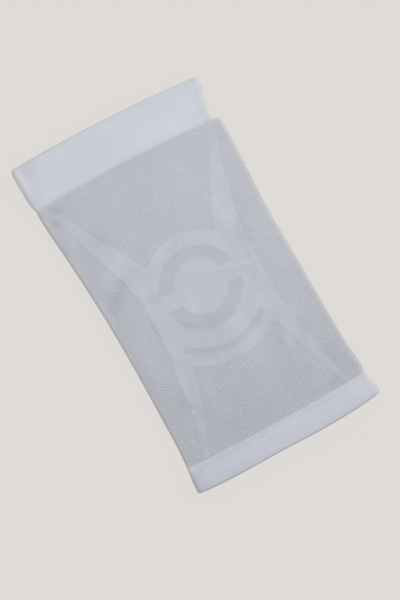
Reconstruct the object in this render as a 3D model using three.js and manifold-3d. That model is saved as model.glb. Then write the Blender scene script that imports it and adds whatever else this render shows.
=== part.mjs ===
// A knee compression sleeve lying flat on its back. It is a knitted tube, hollow from end to end: a smooth
// welt round the thigh, a body with a raised support pattern round the kneecap, and a ribbed cuff round the
// calf. Millimetres, with +Y up the leg, +X to the right of the front and +Z up from the surface it lies on.

import * as THREE from "three";
import { LoftGeometry } from "three/addons/geometries/LoftGeometry.js";
import { mergeVertices } from "three/addons/utils/BufferGeometryUtils.js";
import Module from "manifold-3d";

// Thickness of the knit in each piece, and the gap kept between two pieces at a seam
const WELT_WALL = 1.8;
const BODY_WALL = 1.5;
const CUFF_WALL = 1.9;
const SEAM_GAP = 0.3;

// Clear height between the front and the back, at the side folds of the body and along the middle. The folds
// of the welt and the cuff are rounder, and open up from the seam to the rim.
const CLEAR_AT_FOLD = 2.2;
const CLEAR_AT_MIDDLE = 6.4;
const CROWN_POWER = 6;

// Where the two seams and the two rims cross the middle of the front
const UPPER_RIM_Y = 135.0;
const UPPER_SEAM_Y = 101.6;
const LOWER_SEAM_Y = -115.5;
const LOWER_RIM_Y = -136.5;
const RIM_ROUND = 0.7;

// Sections across the tube, from the calf up. y is at the middle of the front, left and right are the outer
// faces of the side folds, lean is the rise of y for each mm of x, and bow is how far the folds stand above
// the middle. clear is the clear height at the folds, and corner is the radius that the rim turns down (-) or
// up (+) with there.
const SECTION_COLUMNS = ["y", "left", "right", "lean", "bow", "clear", "corner"];
const CUFF_SECTIONS = table(SECTION_COLUMNS, [
  [LOWER_RIM_Y, -74.6, 76.2, -0.0225, 2.6, 5.4, 1.8],
  [-131.5, -74.4, 76.2, -0.0225, 2.3, 5.2, 0],
  [-120.6, -73.1, 74.0, -0.023, 1.8, 3.6, 0],
  [-119.6, -73.0, 73.8, -0.023, 1.8, 3.4, 0],
  [LOWER_SEAM_Y - SEAM_GAP / 2, -72.5, 73.0, -0.023, 1.7, 2.4, 0],
]);
const BODY_SECTIONS = table(SECTION_COLUMNS, [
  [LOWER_SEAM_Y + SEAM_GAP / 2, -72.3, 73.1, -0.023, 1.7, CLEAR_AT_FOLD, 0],
  [-111.0, -72.1, 74.1, -0.022, 1.5, CLEAR_AT_FOLD, 0],
  [-103.8, -71.5, 73.6, -0.019, 1.2, CLEAR_AT_FOLD, 0],
  [-86.5, -70.8, 72.4, -0.012, 0.7, CLEAR_AT_FOLD, 0],
  [-59.2, -70.2, 72.2, -0.004, 0.2, CLEAR_AT_FOLD, 0],
  [-23.3, -69.7, 72.2, 0, 0, CLEAR_AT_FOLD, 0],
  [12.6, -70.0, 72.0, -0.004, 0, CLEAR_AT_FOLD, 0],
  [21.0, -70.4, 72.2, -0.006, -0.1, CLEAR_AT_FOLD, 0],
  [37.7, -71.1, 72.7, -0.01, -0.5, CLEAR_AT_FOLD, 0],
  [62.8, -72.6, 73.9, -0.02, -1.1, CLEAR_AT_FOLD, 0],
  [82.9, -74.1, 74.7, -0.028, -1.9, CLEAR_AT_FOLD, 0],
  [89.5, -74.5, 74.8, -0.031, -2.2, CLEAR_AT_FOLD, 0],
  [96.6, -74.6, 74.8, -0.035, -2.5, CLEAR_AT_FOLD, 0],
  [100.4, -74.5, 74.2, -0.037, -2.7, CLEAR_AT_FOLD, 0],
  [UPPER_SEAM_Y - SEAM_GAP / 2, -74.4, 72.6, -0.037, -2.7, CLEAR_AT_FOLD, 0],
]);
const WELT_SECTIONS = table(SECTION_COLUMNS, [
  [UPPER_SEAM_Y + SEAM_GAP / 2, -74.6, 70.0, -0.037, -2.7, CLEAR_AT_FOLD, 0],
  [107.0, -75.7, 70.5, -0.04, -2.6, 3.2, 0],
  [113.1, -76.2, 71.8, -0.044, -2.5, 4.0, 0],
  [121.7, -76.3, 73.6, -0.048, -2.4, 4.2, 0],
  [130.3, -76.2, 75.4, -0.052, -2.3, 4.2, 0],
  [UPPER_RIM_Y, -75.8, 75.4, -0.053, -2.3, 4.2, -3.0],
]);

// Shallow dents in the front of the body, where the knit has settled. turn is the angle of the long way of a
// dent from +X, in degrees.
const DENTS = table(["x", "y", "turn", "halfLength", "halfWidth", "depth"], [
  [-55.5, 19.5, 37, 11.5, 6.0, 1.0],
  [-65.0, 91.0, 30, 6.5, 5.0, 0.8],
]);

// Support pattern knitted into the front of the body, raised above the ground knit. It is centred on one
// column of stitches, and AXIS gives the x of that column on its way up the leg. The ring and the arc under
// it are turned a little.
const RELIEF = 0.3;
const PATTERN_Y = -4.2;
const AXIS = table(["y", "x"], [
  [-116.0, 0.4],
  [-95.0, 1.2],
  [-73.0, 1.7],
  [-42.0, 1.3],
  [-12.0, 2.4],
  [9.0, 2.4],
  [27.0, 1.9],
  [40.0, 0.9],
  [60.0, 0.5],
  [80.0, 0.6],
  [102.0, 1.4],
]);
const RING_TURN = THREE.MathUtils.degToRad(-1.8);
const RING_OUTER_RADIUS = 30.4;
const RING_INNER_RADIUS = 20.0;
const RING_GAP_HEIGHT = 13.0;
const ARC_OUTER_RADIUS = 49.0;
const ARC_INNER_RADIUS = 44.0;
const ARC_HALF_ANGLE = THREE.MathUtils.degToRad(42.5);
const PLATE_UPPER_RADIUS = 40.6;
const PLATE_LOWER_RADIUS = 57.0;
const PLATE_HALF_WIDTH = 44.2;

// Tapering bands from the plate to the corners of the body: heights above or below the pattern's centre, and
// how far the inner and outer edges of the band lie to either side of the axis there
const BAND_COLUMNS = ["y", "inner", "outer"];
const UPPER_BAND = table(BAND_COLUMNS, [
  [13.6, 22.0, 44.6],
  [31.6, 29.0, 47.7],
  [46.0, 35.7, 51.5],
  [67.5, 47.4, 58.2],
  [85.4, 57.0, 63.8],
  [96.0, 61.9, 66.9],
  [100.5, 64.2, 68.6],
]);
const LOWER_BAND = table(BAND_COLUMNS, [
  [-36.0, 30.0, 45.0],
  [-47.4, 34.0, 47.6],
  [-68.9, 40.5, 50.2],
  [-90.5, 48.0, 54.4],
  [-96.0, 50.0, 55.8],
  [-108.4, 55.0, 59.3],
  [-111.0, 56.0, 60.2],
]);

// Ribs of the cuff: one for each column of stitches round the girth
const WALES = 160;
const RIB_DEPTH = 0.35;

// White yarn of each piece, and how matt the knit is
const WELT_COLOR = 0xeef1f8;
const BODY_COLOR = 0xdadee6;
const CUFF_COLOR = 0xe6e8f2;
const KNIT_ROUGHNESS = 0.92;

// Fineness of the faceting
const PLAIN_COUNTS = { front: 22, rightFold: 7, back: 8, leftFold: 7 };
const CURVE_SEGMENTS = 14;

// Turns rows of numbers into objects with named columns.
function table(columns, rows) {
  return rows.map((row) => Object.fromEntries(columns.map((name, index) => [name, row[index]])));
}

// Stations round the girth, each a part of the section and a share of its length, from the left end of the
// front over the right fold, along the back and up round the left fold.
function plainStations() {
  return Object.entries(PLAIN_COUNTS).flatMap(([part, count]) => (
    Array.from({ length: count }, (_, index) => ({ part, share: index / count }))
  ));
}

// Stations at equal lengths round the girth of one section, two for each rib: its crest and its valley.
function ribStations(section, wall) {
  const foldRadius = section.clear / 2 + wall;
  const flat = section.right - section.left - 2 * foldRadius;
  const turn = Math.PI * foldRadius;
  const parts = [["front", flat], ["rightFold", turn], ["back", flat], ["leftFold", turn]];
  const girth = 2 * (flat + turn);
  const count = 2 * WALES;
  const stations = [];
  let start = 0;
  for (const [part, length] of parts) {
    while (stations.length < count && stations.length * girth / count < start + length) {
      stations.push({ part, share: (stations.length * girth / count - start) / length });
    }
    start += length;
  }
  return stations;
}

// Depth of the dents at one place on the front.
function dentDepth(x, y) {
  return DENTS.reduce((sum, dent) => {
    const from = new THREE.Vector2(x - dent.x, y - dent.y);
    from.rotateAround(new THREE.Vector2(), -THREE.MathUtils.degToRad(dent.turn));
    const along = from.x / dent.halfLength;
    const across = from.y / dent.halfWidth;
    return sum + dent.depth * Math.exp(-along * along - across * across);
  }, 0);
}

// One point of a section, set in from the outer face by inset and moved along the tube by shift. The back is
// flat, the folds are half circles, and the front rises from the folds to a flat crown.
function sectionPoint(section, wall, station, inset, shift) {
  const foldRadius = section.clear / 2 + wall;
  const radius = foldRadius - inset;
  const leftCentre = section.left + foldRadius;
  const rightCentre = section.right - foldRadius;
  const point = new THREE.Vector3();
  if (station.part === "front") {
    const crown = (1 - Math.abs(2 * station.share - 1) ** CROWN_POWER) ** 2;
    point.x = THREE.MathUtils.lerp(leftCentre, rightCentre, station.share);
    point.z = foldRadius + radius + (CLEAR_AT_MIDDLE - section.clear) * crown;
  } else if (station.part === "back") {
    point.x = THREE.MathUtils.lerp(rightCentre, leftCentre, station.share);
    point.z = foldRadius - radius;
  } else {
    const onRight = station.part === "rightFold";
    const angle = Math.PI * ((onRight ? 0.5 : -0.5) - station.share);
    point.x = (onRight ? rightCentre : leftCentre) + radius * Math.cos(angle);
    point.z = foldRadius + radius * Math.sin(angle);
  }
  const halfWidth = (section.right - section.left) / 2;
  const fromMiddle = point.x - (section.left + section.right) / 2;
  point.y = section.y + shift + section.lean * point.x + section.bow * (fromMiddle / halfWidth) ** 2;
  if (section.corner !== 0) {
    const radiusOfCorner = Math.abs(section.corner);
    const intoCorner = Math.abs(fromMiddle) - halfWidth + radiusOfCorner;
    const share = THREE.MathUtils.clamp(intoCorner / radiusOfCorner, 0, 1);
    point.y += section.corner * (1 - Math.sqrt(1 - share * share));
  }
  if (station.part === "front") {
    point.z -= dentDepth(point.x, point.y);
  }
  return point;
}

// One ring round the girth. inset is a number, or a function of the station's index.
function ring(section, wall, stations, inset, shift = 0) {
  const insetAt = typeof inset === "function" ? inset : () => inset;
  return stations.map((station, index) => sectionPoint(section, wall, station, insetAt(index), shift));
}

// A closed wall: rings up the outer face, over the top edge, down the inner face and under the bottom edge.
function wallGeometry(outerRings, innerRings) {
  const rings = [...outerRings, ...innerRings];
  return new LoftGeometry([...rings, rings[0]]);
}

// The three rings of a rounded rim, from the outer face over to the inner one. toBody is the sign of y on the
// way from the rim to the body.
function rimRings(section, wall, stations, toBody) {
  return [
    ring(section, wall, stations, 0, toBody * RIM_ROUND),
    ring(section, wall, stations, wall / 2),
    ring(section, wall, stations, wall, toBody * RIM_ROUND),
  ];
}

// Upper cuff: a smooth wall with a square lower edge at the seam and a rounded rim.
function upperCuffGeometry() {
  const stations = plainStations();
  const sections = WELT_SECTIONS.slice(0, -1);
  const rim = rimRings(WELT_SECTIONS.at(-1), WELT_WALL, stations, -1);
  const outer = sections.map((section) => ring(section, WELT_WALL, stations, 0));
  const inner = sections.map((section) => ring(section, WELT_WALL, stations, WELT_WALL));
  return wallGeometry([...outer, ...rim], inner.reverse());
}

// Lower cuff: a smooth strip under the seam, then ribs down to the rounded rim. The inner face is plain.
function lowerCuffGeometry() {
  const [rimSection, ribEnd, ribStart, stripEnd, seam] = CUFF_SECTIONS;
  const stations = ribStations(ribEnd, CUFF_WALL);
  const ribInset = (index) => (index % 2 === 0 ? 0 : RIB_DEPTH);
  const [rimOuter, rimEdge, rimInner] = rimRings(rimSection, CUFF_WALL, stations, 1);
  const outer = [
    rimOuter,
    ring(ribEnd, CUFF_WALL, stations, ribInset),
    ring(ribStart, CUFF_WALL, stations, ribInset),
    ring(stripEnd, CUFF_WALL, stations, 0),
    ring(seam, CUFF_WALL, stations, 0),
  ];
  return wallGeometry([rimEdge, ...outer], [ring(seam, CUFF_WALL, stations, CUFF_WALL), rimInner]);
}

// A wall of the body between two depths below its outer face.
function bodyWallGeometry(outerInset, innerInset) {
  const stations = plainStations();
  const outer = BODY_SECTIONS.map((section) => ring(section, BODY_WALL, stations, outerInset));
  const inner = BODY_SECTIONS.map((section) => ring(section, BODY_WALL, stations, innerInset));
  return wallGeometry(outer, inner.reverse());
}

// The plate behind the ring: a large arc below, straight sides up to the upper bands and a smaller arc above.
function plateShape() {
  const sideAngle = Math.acos(PLATE_HALF_WIDTH / PLATE_LOWER_RADIUS);
  const sideTop = UPPER_BAND[0].y;
  const upperAngle = Math.asin(sideTop / PLATE_UPPER_RADIUS);
  const shape = new THREE.Shape();
  shape.absarc(0, 0, PLATE_LOWER_RADIUS, Math.PI + sideAngle, 2 * Math.PI - sideAngle, false);
  shape.lineTo(PLATE_HALF_WIDTH, sideTop);
  shape.absarc(0, 0, PLATE_UPPER_RADIUS, upperAngle, Math.PI - upperAngle, false);
  shape.lineTo(-PLATE_HALF_WIDTH, sideTop);
  shape.closePath();
  return shape;
}

// One band, on the right (side 1) or the left (side -1), between its two edges.
function bandShape(rows, side) {
  const outerEdge = rows.map((row) => new THREE.Vector2(side * row.outer, row.y));
  const innerEdge = rows.map((row) => new THREE.Vector2(side * row.inner, row.y)).reverse();
  return new THREE.Shape([...outerEdge, ...innerEdge]);
}

// Half of the ring, above (side 1) or below (side -1) the gap that splits it.
function ringHalfShape(side) {
  const outerAngle = Math.asin(RING_GAP_HEIGHT / 2 / RING_OUTER_RADIUS);
  const innerAngle = Math.asin(RING_GAP_HEIGHT / 2 / RING_INNER_RADIUS);
  const quarter = Math.PI / 2;
  const spreads = [quarter - innerAngle, quarter - outerAngle];
  return sectorShape(RING_INNER_RADIUS, RING_OUTER_RADIUS, RING_TURN + side * quarter, ...spreads);
}

// A stretch of a ring between two radii, spread to either side of its middle angle.
function sectorShape(innerRadius, outerRadius, middle, innerSpread, outerSpread) {
  const shape = new THREE.Shape();
  shape.absarc(0, 0, outerRadius, middle - outerSpread, middle + outerSpread, false);
  shape.absarc(0, 0, innerRadius, middle + innerSpread, middle - innerSpread, true);
  shape.closePath();
  return shape;
}

// Where the pattern's axis is at one height, on straight lines between the rows of its table.
function axisAt(y) {
  const above = AXIS.find((row) => row.y >= y) ?? AXIS.at(-1);
  const below = AXIS.findLast((row) => row.y <= y) ?? AXIS[0];
  const share = above.y === below.y ? 0 : (y - below.y) / (above.y - below.y);
  return THREE.MathUtils.lerp(below.x, above.x, share);
}

// A shape of the pattern, carried from its own centre to its place on the front.
function onAxis(shape) {
  const points = shape.getPoints(CURVE_SEGMENTS).map((point) => {
    const y = point.y + PATTERN_Y;
    return new THREE.Vector2(point.x + axisAt(y), y);
  });
  return new THREE.Shape(points);
}

const wasm = await Module();
wasm.setup();

// A solid for joining and cutting, from a closed geometry.
function solidFrom(geometry) {
  const bare = new THREE.BufferGeometry();
  bare.setAttribute("position", geometry.getAttribute("position"));
  bare.setIndex(geometry.index);
  const merged = mergeVertices(bare);
  return new wasm.Manifold(new wasm.Mesh({
    numProp: 3,
    vertProperties: merged.getAttribute("position").array,
    triVerts: new Uint32Array(merged.index.array),
  }));
}

// The geometry of a solid after joining and cutting.
function geometryFrom(solid) {
  const mesh = solid.getMesh();
  const geometry = new THREE.BufferGeometry();
  geometry.setAttribute("position", new THREE.BufferAttribute(mesh.vertProperties, 3));
  geometry.setIndex(new THREE.BufferAttribute(mesh.triVerts, 1));
  geometry.computeVertexNormals();
  return geometry;
}

// An upright prism over one shape of the pattern, through the front of the body alone.
function prism(shape) {
  const bottom = (CLEAR_AT_FOLD + CLEAR_AT_MIDDLE) / 2;
  const depth = CLEAR_AT_MIDDLE + 2 * BODY_WALL;
  const geometry = new THREE.ExtrudeGeometry(onAxis(shape), { depth, bevelEnabled: false });
  return solidFrom(geometry.translate(0, 0, bottom));
}

// Sleeve body: the plain wall, with the plate and the bands raised on its front and the ring and the arc
// left at the level of the ground knit.
function sleeveBodyGeometry() {
  const raisedShapes = [plateShape(), ...[UPPER_BAND, LOWER_BAND].flatMap((rows) => (
    [1, -1].map((side) => bandShape(rows, side))
  ))];
  const arcMiddle = RING_TURN - Math.PI / 2;
  const arc = sectorShape(ARC_INNER_RADIUS, ARC_OUTER_RADIUS, arcMiddle, ARC_HALF_ANGLE, ARC_HALF_ANGLE);
  const levelShapes = [ringHalfShape(1), ringHalfShape(-1), arc];
  const raised = raisedShapes.map(prism).reduce((joined, solid) => joined.add(solid));
  const pattern = levelShapes.map(prism).reduce((left, solid) => left.subtract(solid), raised);
  const skin = solidFrom(bodyWallGeometry(-RELIEF, BODY_WALL / 2));
  const wall = solidFrom(bodyWallGeometry(0, BODY_WALL));
  return geometryFrom(wall.add(skin.intersect(pattern)));
}

// A knitted piece with its own colour.
function knitMesh(name, geometry, color) {
  const material = new THREE.MeshStandardMaterial({ color, roughness: KNIT_ROUGHNESS, metalness: 0 });
  const mesh = new THREE.Mesh(geometry, material);
  mesh.name = name;
  return mesh;
}

const sleeve = new THREE.Group();
sleeve.name = "knee_sleeve";
sleeve.add(knitMesh("upper_cuff", upperCuffGeometry(), WELT_COLOR));
sleeve.add(knitMesh("sleeve_body", sleeveBodyGeometry(), BODY_COLOR));
sleeve.add(knitMesh("lower_cuff", lowerCuffGeometry(), CUFF_COLOR));

// The middle of the footprint goes to the origin, with the back on the surface.
const box = new THREE.Box3().setFromObject(sleeve);
const centre = box.getCenter(new THREE.Vector3());
sleeve.position.set(-centre.x, -centre.y, -box.min.z);

export default sleeve;
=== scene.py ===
"""A white knitted knee sleeve lying flat: smooth thigh welt, pique body with a kneecap pattern, ribbed cuff.

Each piece is one closed knitted wall, worked out as a surface of two parameters: the wale, which counts the
columns of stitches round the girth, and the course, which counts the rows of stitches up the leg. Metres,
with +Y up the leg, +X to the right of the front and +Z up from the floor.
"""

import math

import bpy
import numpy as np
from bpy.props import FloatProperty, FloatVectorProperty, IntProperty, PointerProperty
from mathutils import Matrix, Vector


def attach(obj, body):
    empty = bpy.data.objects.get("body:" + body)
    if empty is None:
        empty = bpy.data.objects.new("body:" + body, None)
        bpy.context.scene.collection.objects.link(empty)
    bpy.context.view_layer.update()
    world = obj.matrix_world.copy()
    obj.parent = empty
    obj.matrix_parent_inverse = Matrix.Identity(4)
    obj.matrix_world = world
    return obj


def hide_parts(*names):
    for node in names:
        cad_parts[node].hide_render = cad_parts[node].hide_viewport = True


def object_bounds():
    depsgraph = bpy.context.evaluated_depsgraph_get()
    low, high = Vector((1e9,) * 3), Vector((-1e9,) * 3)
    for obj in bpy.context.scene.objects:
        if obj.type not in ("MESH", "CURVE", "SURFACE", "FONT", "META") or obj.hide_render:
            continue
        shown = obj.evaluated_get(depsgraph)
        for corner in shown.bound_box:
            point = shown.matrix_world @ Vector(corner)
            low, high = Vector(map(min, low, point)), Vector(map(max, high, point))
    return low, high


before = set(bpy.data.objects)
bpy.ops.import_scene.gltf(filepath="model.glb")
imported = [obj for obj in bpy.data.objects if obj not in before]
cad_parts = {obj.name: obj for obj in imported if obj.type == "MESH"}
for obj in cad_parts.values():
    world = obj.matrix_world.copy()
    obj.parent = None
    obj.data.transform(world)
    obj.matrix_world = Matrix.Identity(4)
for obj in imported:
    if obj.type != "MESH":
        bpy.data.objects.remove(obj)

CAD_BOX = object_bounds()

bl_info = {
    "name": "Knee Sleeve",
    "version": (1, 0, 0),
    "blender": (4, 5, 0),
    "location": "3D View > Sidebar > Knee Sleeve",
    "description": "Builds a knitted knee sleeve lying flat, with its welt, pique body and ribbed cuff",
    "category": "Mesh",
}

ROOT_BODY = "root"

# Names of the maps and attributes that the materials read
STITCH_MAP = "Stitches"
BAKE_MAP = "OFBake"
SMOOTH_ZONE = "smooth_zone"
RING_ZONE = "ring_zone"
VIOLET = "violet"
HOLLOW = "hollow"
FROM_EDGE = "from_edge"

# Tints that the yarn drifts between
COOL_TINT = (0.998, 0.999, 1.002, 1.0)
WARM_TINT = (1.002, 1.001, 0.998, 1.0)

# Warm tint that the floor gives the folds and the rims, the distances inward from a fold over which it fades,
# and how many times faster it fades from a rim
EDGE_TINT = (1.037, 1.000, 0.958, 1.0)
EDGE_TINT_FULL = 0.0012
EDGE_TINT_END = 0.0070
RIM_TINT_PACE = 3.0

# How far to either side of the middle the shade of one fold changes to that of the other
FOLD_CHANGE = 0.02

# Level where the left fold bulges up and catches the light
LEFT_BULGE = -0.038

# Share of the light that a hollow in the front loses for each metre of its depth
HOLLOW_SHADE = 70.0

# Levels, at the middle of the front, of the two rims and the two seams
UPPER_RIM = 0.1350
UPPER_SEAM = 0.1016
LOWER_SEAM = -0.1155
LOWER_RIM = -0.1365

# Places of the coordinates along the leg and up from the floor in a point
LEG_AXIS = 1
UP_AXIS = 2

# Rows of the grids: round a cuff's rim, along its edge at the seam, and up the outer and inner faces of the
# welt and of the ribbed cuff
RIM_ROWS = 9
SEAM_ROWS = 6
WELT_ROWS = (28, 14)
CUFF_ROWS = (26, 12)

# Columns of the grids to a wale, courses of the body to a row of its inner face, and the steps in which its
# courses are summed
BODY_COLUMNS = 2
CUFF_COLUMNS = 4
INNER_COURSES = 3
COURSE_STEPS = 1000

# How sharply dents, swells and drooping rims end at the folds, how many radii down a rounded corner dies out,
# and how many courses from a seam the pique starts and is full
FOLD_POWER = 24
CORNER_REACH = 1.5
PIQUE_START = (0.5, 2.5)

# Spans of the finishes: two values that something goes between, and the levels that these are carried to.
# These go by noise, by the strength of a dot, and by the waves and shades across wales and courses
DOT_STRENGTH = (-1.0, 1.0, 0.4, 1.6)
DOT_ROUGHNESS = (0.0, 1.0, 0.92, 0.8)
# Dark gaps between the wales and in the welt's faint rib valleys: partly painted shade in the recesses
WALE_GAPS = (-1.0, 1.0, 0.925, 1.0)
WELT_RIBS = (-1.0, 1.0, 0.988, 1.0)
WELT_ROUGHNESS = (-1.0, 1.0, 0.9, 0.82)
STITCH_HEADS = (-1.0, 1.0, 0.97, 1.0)
RIB_ROUGHNESS = (0.9, 1.0, 0.92, 0.8)

# Spans by the level up the leg, and the last, painted fold light, by the distance from the left fold's bulge
DOT_FADE = (-0.02, 0.06, 1.0, 0.75)
PIQUE_GRAIN = (-0.02, 0.06, 0.038, 0.052)
# The first darkens the smooth knit towards the calf as painted shade, the second a little towards the welt
LOWER_BAND_SHADE = (-0.045, -0.075, 1.0, 0.98)
UPPER_BAND_SHADE = (0.030, 0.050, 1.0, 0.987)
BULGE_LIGHT = (0.010, 0.030, 0.030, -0.015)

# Spans that go by the courses from a rim: painted shade where the welt and the cuff turn in at their rims
WELT_RIM_EDGE = (-0.2, 1.6, 0.85, 1.0)
WELT_RIM_SHADE = (0.0, 5.0, 0.975, 1.0)
CUFF_RIM_EDGE = (0.0, 1.5, 0.80, 0.985)
CUFF_RIM_SHADE = (0.0, 7.0, 0.97, 1.0)

# Spans that go by x: painted shade in the rib valleys, deepest on the left, and at the cuff's two ends
VALLEY_SHADE = (-0.06, 0.05, 0.92, 1.0)
CUFF_LEFT_END = (-0.070, -0.060, 0.89, 1.0)
CUFF_LEFT_SHADE = (-0.060, -0.020, 0.98, 1.0)
CUFF_RIGHT_SHADE = (0.004, 0.034, 1.0, 0.972)

# Where other spans start and end: levels between which painted shade darkens the body towards the calf,
# and heights of a rib, from -1 to 1, between which its valley turns to its crest
CALF_FADE = (0.03, -0.08)
RIB_CREST = (-1.0, 0.6)

# Courses between which one knit changes to the next: the body to the welt, counted from its last course, the
# body to the strip, counted from its first, and the strip to the ribs, counted from the strip's lower edge
WELT_TEETH = (-1.5, 0.4)
STRIP_TEETH = (0.2, -0.6)
RIBS_START = (1.4, -1.0)

# Noises of the finishes: scale, detail, two values of the noise, and the levels that these are carried to
TINT_DRIFT = (42.0, 2.0, 0.35, 0.65, 0.0, 1.0)
TONE_DRIFT = (75.0, 3.0, 0.3, 0.7, 0.988, 1.012)
DOT_PATCHES = (150.0, 2.0, 0.35, 0.65, 0.7, 1.3)
VIOLET_MOTTLE = (110.0, 2.0, 0.3, 0.6, 0.4, 1.0)
# Painted light and shade of fine creases in the smooth knit
PAINTED_CREASE_SHADING = (210.0, 3.0, 0.3, 0.7, 0.98, 1.02)
STRIP_EDGE = (60.0, 2.0, 0.35, 0.65, -1.0, 0.5)
FLOOR_DRIFT = (3.0, 2.0, 0.3, 0.7, 0.995, 1.0)

# Painted light and shade at the left and right folds of the welt and the cuff, and at the body's right fold
WELT_PAINTED_FOLD_SHADE = (-0.04, -0.005)
CUFF_PAINTED_FOLD_SHADE = (0.0, -0.01)
RIGHT_FOLD_PAINTED_LIGHT = 0.045

# Unevenness from stitch to stitch: scales of its noise, how many stitches a dot strays across and along and a
# rib across, how many courses the teeth at a seam reach, and the grain of smooth knit and ribs
DOT_UNEVENNESS = 0.8
RIB_UNEVENNESS = 0.6
GRAIN_UNEVENNESS = 1.7
DOT_STRAY = (0.25, 0.3)
RIB_STRAY = 0.16
SEAM_TEETH = 0.2
SMOOTH_GRAIN = 0.012
RIB_GRAIN = 0.02

# Lightness of the strip where it meets the seam
SEAM_SHADE = 0.95

# Bump of the yarn: how steeply the arms of a stitch rise, how sharply they end and their height, the scale,
# detail, height and strength of the fibres, and how strongly the stitches of each piece show
LOOP_RISE = 0.45
LOOP_POWER = 4.0
LOOP_HEIGHT = 0.0002
FIBRE_SCALE = 2500.0
FIBRE_DETAIL = 3.0
FIBRE_HEIGHT = 0.00006
FIBRE_STRENGTH = 0.15
BODY_BUMP = 0.3
WELT_BUMP = 0.25
RIB_BUMP = 0.3

# Sockets of the shaders that are the same all over
YARN_FINISH = {"Sheen Weight": 0.05, "Sheen Roughness": 0.5, "Specular IOR Level": 0.2}
FLOOR_FINISH = {"Roughness": 0.95, "Specular IOR Level": 0.0, "Emission Strength": 1.0}

# Sections across the tube from the calf up: level at the middle of the front, outer faces of the left and
# right folds, rise for each metre of x, how far the folds stand above the middle, and the clear height inside
# the folds
SECTION_FIELDS = ("level", "left", "right", "lean", "bow", "clear")
CUFF_SECTIONS = (
    (LOWER_RIM, -0.0746, 0.0762, -0.0225, 0.0026, 0.0054),
    (-0.1315, -0.0744, 0.0762, -0.0225, 0.0023, 0.0052),
    (-0.1206, -0.0731, 0.0740, -0.0230, 0.0018, 0.0036),
    (LOWER_SEAM, -0.0725, 0.0730, -0.0230, 0.0017, 0.0024),
)
BODY_CLEAR = 0.0022
BODY_SECTIONS = (
    (LOWER_SEAM, -0.0723, 0.0731, -0.0230, 0.0017, BODY_CLEAR),
    (-0.1110, -0.0721, 0.0741, -0.0220, 0.0015, BODY_CLEAR),
    (-0.1038, -0.0715, 0.0736, -0.0190, 0.0012, BODY_CLEAR),
    (-0.0865, -0.0708, 0.0724, -0.0120, 0.0007, BODY_CLEAR),
    (-0.0592, -0.0702, 0.0722, -0.0040, 0.0002, BODY_CLEAR),
    (-0.0233, -0.0697, 0.0722, 0.0, 0.0, BODY_CLEAR),
    (0.0126, -0.0700, 0.0720, -0.0040, 0.0, BODY_CLEAR),
    (0.0210, -0.0704, 0.0722, -0.0060, -0.0001, BODY_CLEAR),
    (0.0377, -0.0711, 0.0727, -0.0100, -0.0005, BODY_CLEAR),
    (0.0628, -0.0726, 0.0739, -0.0200, -0.0011, BODY_CLEAR),
    (0.0829, -0.0741, 0.0747, -0.0280, -0.0019, BODY_CLEAR),
    (0.0895, -0.0745, 0.0748, -0.0310, -0.0022, BODY_CLEAR),
    (0.0966, -0.0746, 0.0748, -0.0350, -0.0025, BODY_CLEAR),
    (0.1004, -0.0745, 0.0742, -0.0370, -0.0027, BODY_CLEAR),
    (UPPER_SEAM, -0.0744, 0.0726, -0.0370, -0.0027, BODY_CLEAR),
)
WELT_SECTIONS = (
    (UPPER_SEAM, -0.0746, 0.0695, -0.0370, -0.0027, BODY_CLEAR),
    (0.1070, -0.0757, 0.0698, -0.0400, -0.0026, 0.0032),
    (0.1131, -0.0762, 0.0710, -0.0440, -0.0025, 0.0046),
    (0.1217, -0.0763, 0.0731, -0.0480, -0.0024, 0.0050),
    (0.1303, -0.0762, 0.0754, -0.0520, -0.0023, 0.0050),
    (UPPER_RIM, -0.0758, 0.0754, -0.0530, -0.0023, 0.0050),
)

# How far the rim of the cuff strays up from its plain curve: x and rise
STRAY_FIELDS = ("x", "rise")
RIM_STRAY = (
    (-0.0750, -0.0002),
    (-0.0580, -0.0006),
    (-0.0420, -0.0002),
    (-0.0210, 0.0004),
    (0.0, 0.0007),
    (0.0210, 0.0002),
    (0.0420, 0.0),
    (0.0560, 0.0002),
    (0.0680, 0.0008),
    (0.0762, 0.0018),
)

# How closely the courses of the body lie: level and courses to the metre
DENSITY_FIELDS = ("level", "density")
COURSE_DENSITY = (
    (LOWER_SEAM, 740.0),
    (-0.080, 775.0),
    (0.0, 790.0),
    (0.027, 850.0),
    (0.070, 870.0),
    (UPPER_SEAM, 900.0),
)

# The column of stitches that the support pattern is centred on: its x on the way up the leg
AXIS_FIELDS = ("level", "x")
PATTERN_AXIS = (
    (-0.1160, 0.0004),
    (-0.0950, 0.0012),
    (-0.0730, 0.0017),
    (-0.0420, 0.0013),
    (-0.0120, 0.0024),
    (0.0090, 0.0024),
    (0.0270, 0.0019),
    (0.0400, 0.0009),
    (0.0600, 0.0005),
    (0.0800, 0.0006),
    (0.1020, 0.0014),
)

# Tapering bands of the support pattern: height from the pattern's centre, and how far the band's inner and
# outer edges lie to either side of the axis there
BAND_FIELDS = ("height", "inner", "outer")
UPPER_BAND = (
    (0.0136, 0.0220, 0.0446),
    (0.0316, 0.0290, 0.0477),
    (0.0460, 0.0357, 0.0515),
    (0.0675, 0.0474, 0.0582),
    (0.0854, 0.0570, 0.0638),
    (0.0960, 0.0619, 0.0669),
    (0.1005, 0.0642, 0.0686),
)
LOWER_BAND = (
    (-0.1110, 0.0560, 0.0602),
    (-0.1084, 0.0550, 0.0593),
    (-0.0960, 0.0500, 0.0558),
    (-0.0905, 0.0480, 0.0544),
    (-0.0689, 0.0405, 0.0502),
    (-0.0474, 0.0340, 0.0476),
    (-0.0360, 0.0300, 0.0450),
)

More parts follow.
